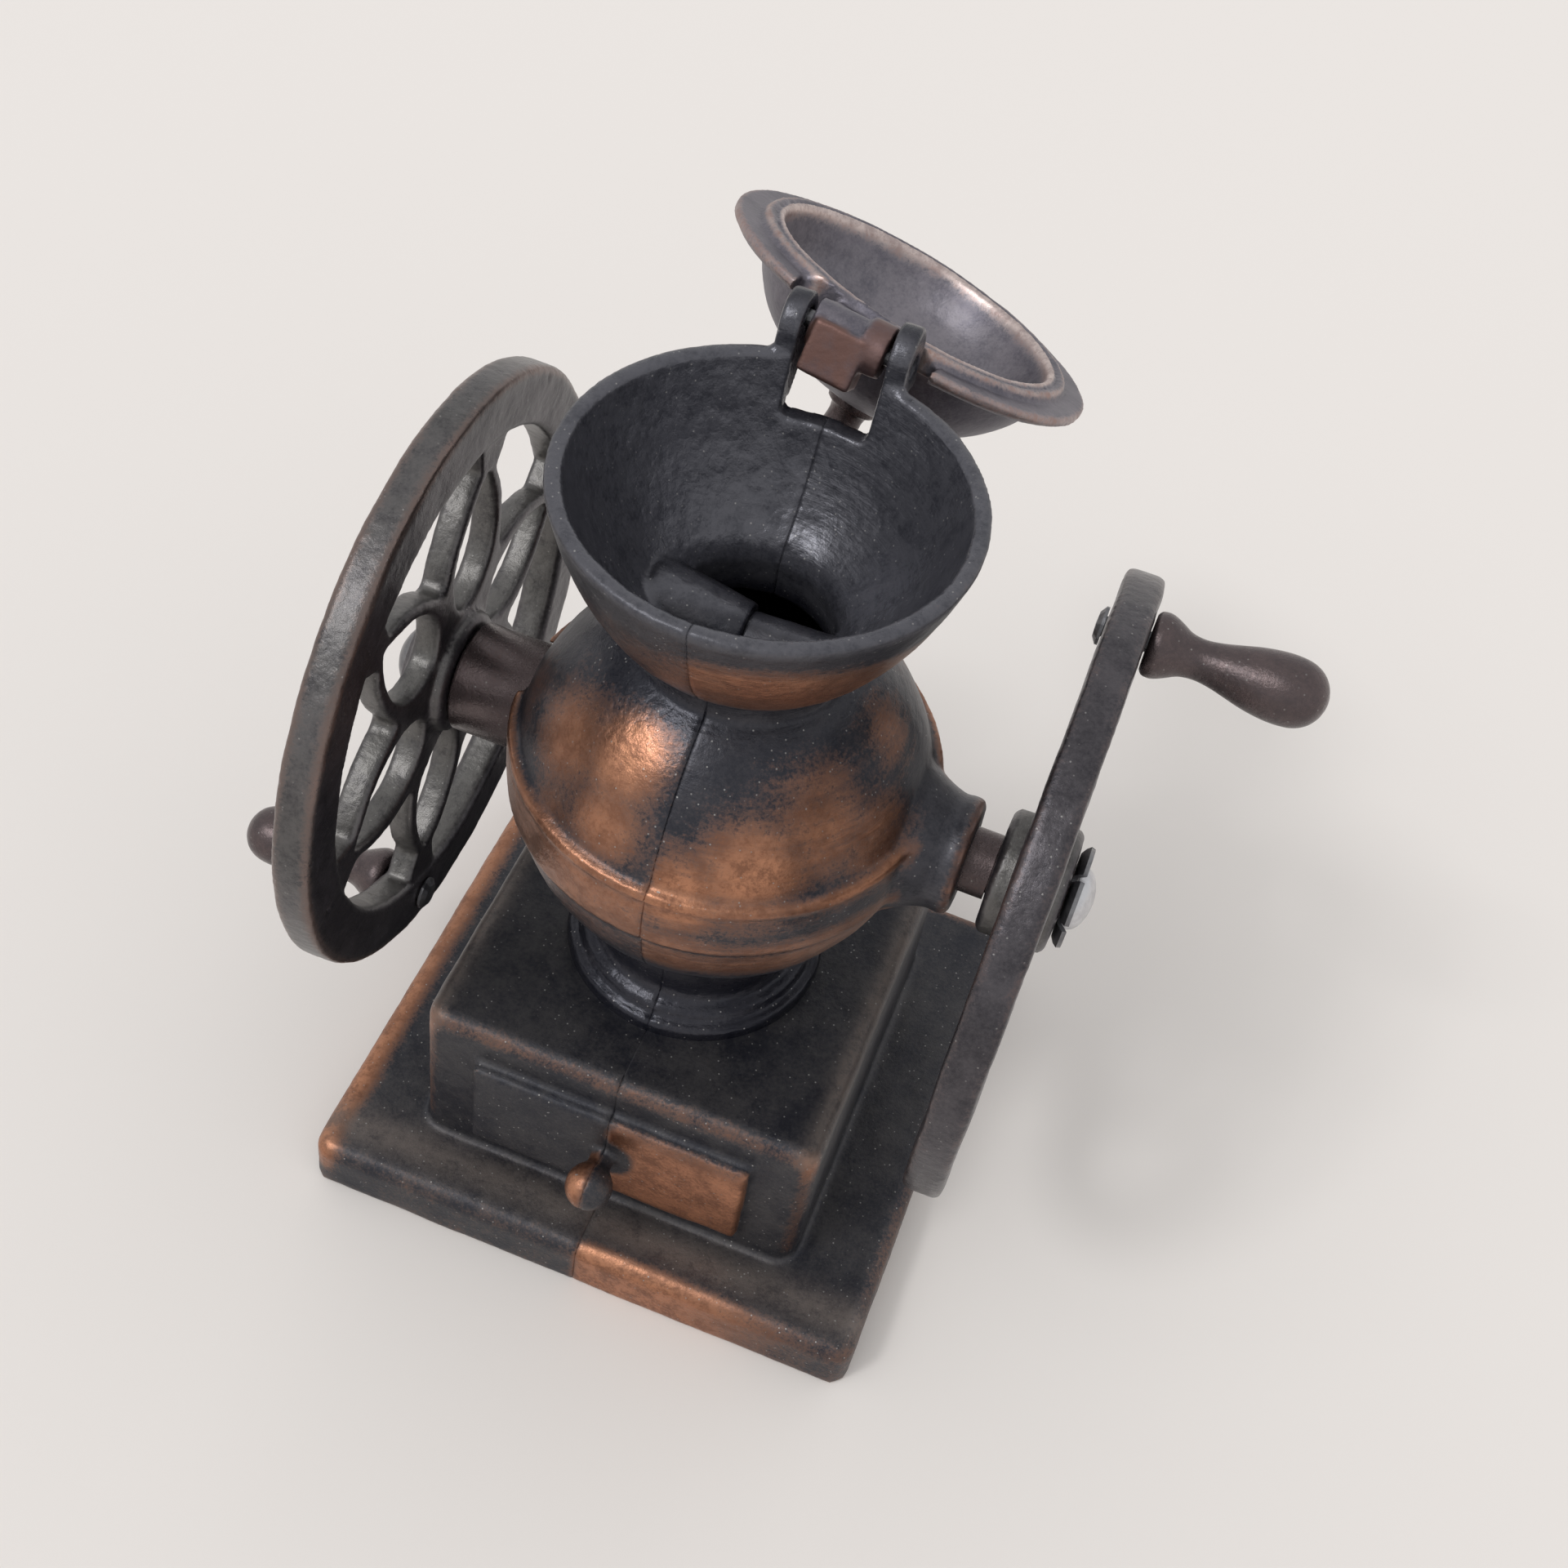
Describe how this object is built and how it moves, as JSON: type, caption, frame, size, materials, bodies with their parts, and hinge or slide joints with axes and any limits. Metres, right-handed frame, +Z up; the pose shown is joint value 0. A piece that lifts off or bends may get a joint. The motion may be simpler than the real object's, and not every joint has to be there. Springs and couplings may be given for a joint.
{
  "type": "miniature hand crank coffee mill",
  "caption": "Miniature die cast hand crank coffee mill with a flared hopper, globe body, petal spoked flywheels, crank grips, hinged domed lid and a pencil sharpener in its hollow base.",
  "frame": {"origin": "centre of the overall bounding box in X and Y with the lid open, at the level the base stands on", "axes": "+X from the left wheel to the right wheel along the axle, the drawer front faces -Y, +Z up"},
  "size_m": [0.0728, 0.0648, 0.0715],
  "materials": {
    "antique_cast_left": "antique dark finish with rubbed copper highlights",
    "antique_cast_right": "antique dark finish with rubbed copper highlights",
    "wheel_cast": "gun metal, copper brown on the edges",
    "brown_cast": "glossy red brown",
    "lid_cast": "satin grey purple",
    "dark_steel": "blackened",
    "bare_zinc": "bright as cast",
    "blade_steel": "ground"
  },
  "bodies": {
    "base": {"body_left_half": "antique_cast_left", "body_right_half": "antique_cast_right", "body_rivet_front": "bare_zinc", "body_rivet_rear": "bare_zinc", "lid_hinge_pin": "dark_steel", "sharpener_block": "bare_zinc", "sharpener_blade": "blade_steel", "sharpener_screw": "dark_steel"},
    "crank": {"axle_shaft": "brown_cast", "left_flywheel": "wheel_cast", "right_flywheel": "wheel_cast", "axle_push_washer": "dark_steel", "left_handle_rivet": "dark_steel", "right_handle_rivet": "dark_steel"},
    "left_grip": {"left_handle": "brown_cast"},
    "right_grip": {"right_handle": "brown_cast"},
    "lid_body": {"lid": "lid_cast"}
  },
  "joints": [
    {"name": "crank_turn", "type": "hinge", "parent": "base", "child": "crank", "pos_m": [-0.00075, -0.00947, 0.0412], "axis": [1, 0, 0], "continuous": true},
    {"name": "left_handle_spin", "type": "hinge", "parent": "crank", "child": "left_grip", "pos_m": [-0.02415, -0.01577, 0.0218], "axis": [1, 0, 0], "continuous": true},
    {"name": "right_handle_spin", "type": "hinge", "parent": "crank", "child": "right_grip", "pos_m": [0.02415, -0.00316, 0.0606], "axis": [1, 0, 0], "continuous": true},
    {"name": "lid_hinge", "type": "hinge", "parent": "base", "child": "lid_body", "pos_m": [-0.00075, 0.00543, 0.0693], "axis": [0.9907, -0.0606, -0.1219], "range_deg": [0, 205]}
  ]
}
